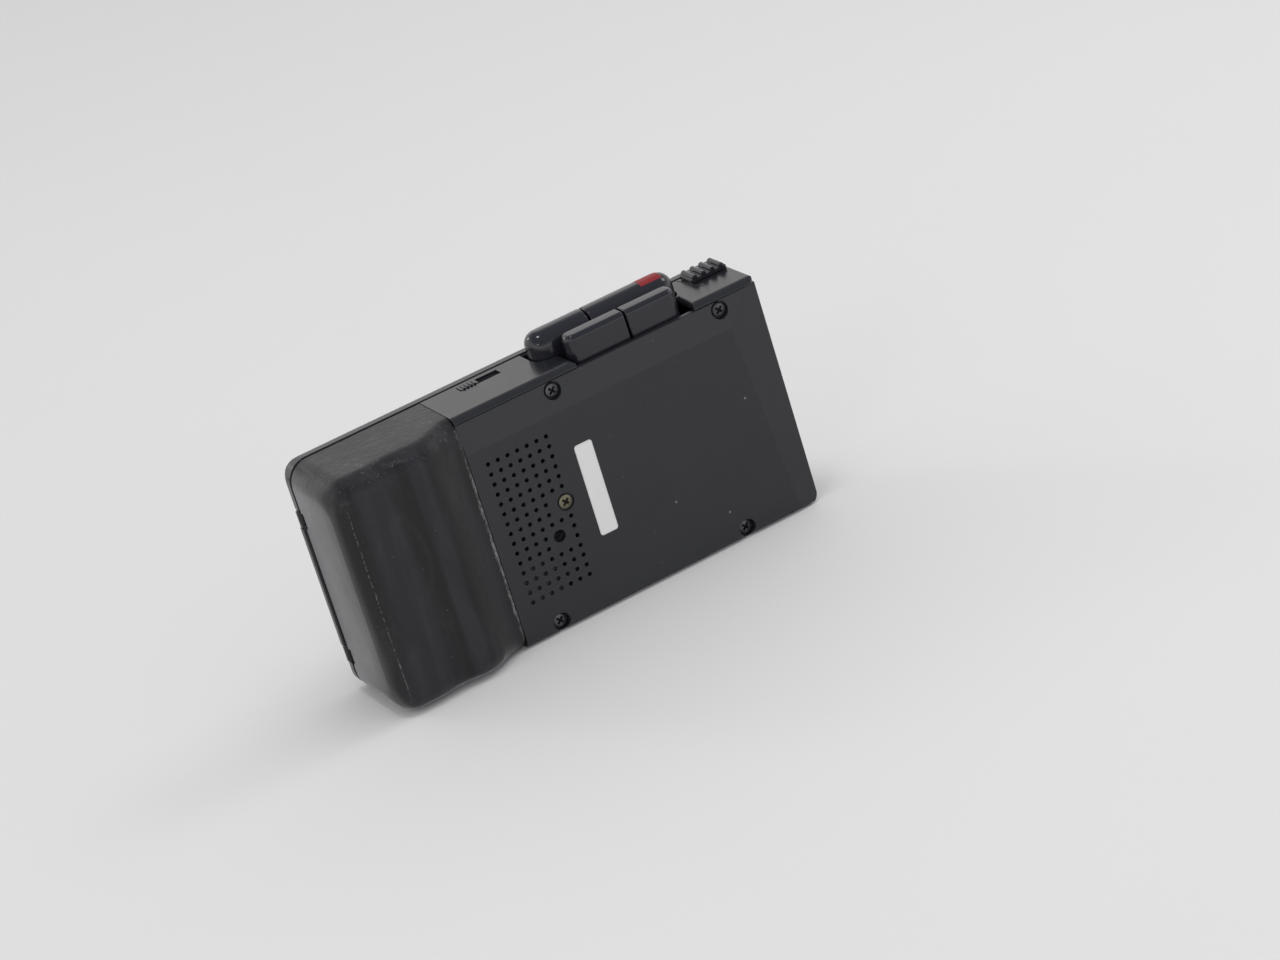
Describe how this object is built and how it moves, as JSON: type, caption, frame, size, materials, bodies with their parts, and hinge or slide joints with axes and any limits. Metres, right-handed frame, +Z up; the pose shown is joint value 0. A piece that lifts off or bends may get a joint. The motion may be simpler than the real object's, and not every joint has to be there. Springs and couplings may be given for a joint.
{
  "type": "dictation machine",
  "caption": "Hand-held tape dictation machine with a bulged hinged battery cover, a speaker grille on its back, tape keys on its long top side and a cassette lid.",
  "frame": {"origin": "on the long lower side, in the middle of the case's length and of its whole depth", "axes": "+X along the case from the battery end to the jack end, +Y to the front with the cassette lid, +Z up through the keys"},
  "size_m": [0.1265, 0.0304, 0.0699],
  "materials": {
    "case_black": "fine grain",
    "cover_black": "matte, worn edges",
    "key_black": "satin",
    "tray_grey": "plain",
    "red": "gloss",
    "label_white": "satin",
    "black_steel": "blackened",
    "brass": "dull",
    "steel": "plain",
    "white_plastic": "plain",
    "black_plastic": "satin",
    "rubber": "matte",
    "board": "lacquered",
    "felt": "matte",
    "window": "smoked, clear"
  },
  "bodies": {
    "case": {"rear_cover": "case_black", "side_frame": "case_black", "front_shell": "case_black", "end_panel": "case_black", "case_screws": "black_steel", "mechanism_screw": "brass", "back_label": "label_white", "battery_hinge_pin": "steel", "battery_tray": "tray_grey", "battery_springs": "steel", "battery_plates": "steel", "lid_hinge_pins": "steel", "key_guide": "white_plastic", "stop_key_spring": "steel", "play_key_spring": "steel", "rewind_key_spring": "steel", "forward_key_spring": "steel", "pause_switch": "tray_grey", "speed_switch": "tray_grey", "volume_pot": "tray_grey", "chassis_plate": "steel", "chassis_screws": "steel", "mechanism_bracket": "steel", "motor": "steel", "drive_belt": "rubber", "capstan_bush": "brass", "circuit_board": "board", "board_parts": "black_plastic", "speed_trimmer": "brass", "speaker": "steel", "speaker_felt": "felt", "microphone": "steel", "mic_boot": "rubber", "record_lamp": "red", "ear_jack": "black_plastic", "mic_jack": "black_plastic"},
    "battery_door": {"battery_cover": "cover_black"},
    "cassette_door": {"cassette_lid": "case_black", "lid_window": "window"},
    "stop_key": {"stop_key": "key_black"},
    "play_key": {"play_key": "key_black", "record_mark": "red"},
    "rewind_key": {"rewind_key": "key_black"},
    "forward_key": {"forward_key": "key_black"},
    "pause_slide": {"pause_slider": "key_black"},
    "speed_slide": {"speed_slider": "key_black"},
    "volume_wheel": {"volume_dial": "key_black"},
    "flywheel": {"flywheel": "steel", "capstan": "steel"},
    "motor_pulley": {"motor_pulley": "brass"},
    "idler": {"idler_wheel": "rubber"},
    "takeup_reel": {"takeup_spindle": "white_plastic"},
    "supply_reel": {"supply_spindle": "white_plastic"},
    "head_slide": {"head_plate": "steel", "record_head": "steel", "erase_head": "black_plastic", "pinch_arm": "steel"},
    "pinch_roller": {"pinch_roller": "rubber"}
  },
  "joints": [
    {"name": "battery_cover_hinge", "type": "hinge", "parent": "case", "child": "battery_door", "pos_m": [-0.0617, 0.0127, 0.02975], "axis": [0, 0, -1], "range_deg": [0, 95]},
    {"name": "cassette_lid_hinge", "type": "hinge", "parent": "case", "child": "cassette_door", "pos_m": [0.0225, 0.0142, 0.0101], "axis": [-1, 0, 0], "range_deg": [0, 75]},
    {"name": "stop_key_press", "type": "slide", "parent": "case", "child": "stop_key", "axis": [0, 0, -1], "range_m": [0, 0.003], "stiffness_N_per_m": 400, "deforming": ["stop_key_spring"]},
    {"name": "play_key_press", "type": "slide", "parent": "case", "child": "play_key", "axis": [0, 0, -1], "range_m": [0, 0.003], "stiffness_N_per_m": 400, "deforming": ["play_key_spring"]},
    {"name": "rewind_key_press", "type": "slide", "parent": "case", "child": "rewind_key", "axis": [0, 0, -1], "range_m": [0, 0.003], "stiffness_N_per_m": 400, "deforming": ["rewind_key_spring"]},
    {"name": "forward_key_press", "type": "slide", "parent": "case", "child": "forward_key", "axis": [0, 0, -1], "range_m": [0, 0.003], "stiffness_N_per_m": 400, "deforming": ["forward_key_spring"]},
    {"name": "pause_slide_move", "type": "slide", "parent": "case", "child": "pause_slide", "axis": [-1, 0, 0], "range_m": [0, 0.0016]},
    {"name": "speed_slide_move", "type": "slide", "parent": "case", "child": "speed_slide", "axis": [1, 0, 0], "range_m": [0, 0.006]},
    {"name": "volume_turn", "type": "hinge", "parent": "case", "child": "volume_wheel", "pos_m": [0.0561, 0.0016, 0.0295], "axis": [0, 1, 0], "range_deg": [-150, 150]},
    {"name": "flywheel_spin", "type": "hinge", "parent": "case", "child": "flywheel", "pos_m": [0.036, 0.0033, 0.0395], "axis": [0, 1, 0], "continuous": true},
    {"name": "motor_pulley_spin", "type": "hinge", "parent": "case", "child": "motor_pulley", "pos_m": [-0.0157, 0.0033, 0.0133], "axis": [0, 1, 0], "continuous": true},
    {"name": "idler_spin", "type": "hinge", "parent": "case", "child": "idler", "pos_m": [0.04206, 0.0033, 0.02903], "axis": [0, 1, 0], "continuous": true},
    {"name": "takeup_spin", "type": "hinge", "parent": "case", "child": "takeup_reel", "pos_m": [0.03475, 0.0033, 0.0245], "axis": [0, 1, 0], "continuous": true},
    {"name": "supply_spin", "type": "hinge", "parent": "case", "child": "supply_reel", "pos_m": [0.01025, 0.0033, 0.0245], "axis": [0, 1, 0], "continuous": true},
    {"name": "head_move", "type": "slide", "parent": "case", "child": "head_slide", "axis": [0, 0, -1], "range_m": [0, 0.0024]},
    {"name": "pinch_roller_spin", "type": "hinge", "parent": "head_slide", "child": "pinch_roller", "pos_m": [0.036, 0.0033, 0.0458], "axis": [0, 1, 0], "continuous": true}
  ],
  "couplings": [
    {"joint": "motor_pulley_spin", "follows": "flywheel_spin", "ratio": 5.375},
    {"joint": "idler_spin", "follows": "flywheel_spin", "ratio": -3},
    {"joint": "takeup_spin", "follows": "flywheel_spin", "ratio": 1.6364},
    {"joint": "head_move", "follows": "play_key_press", "ratio": 0.8}
  ]
}
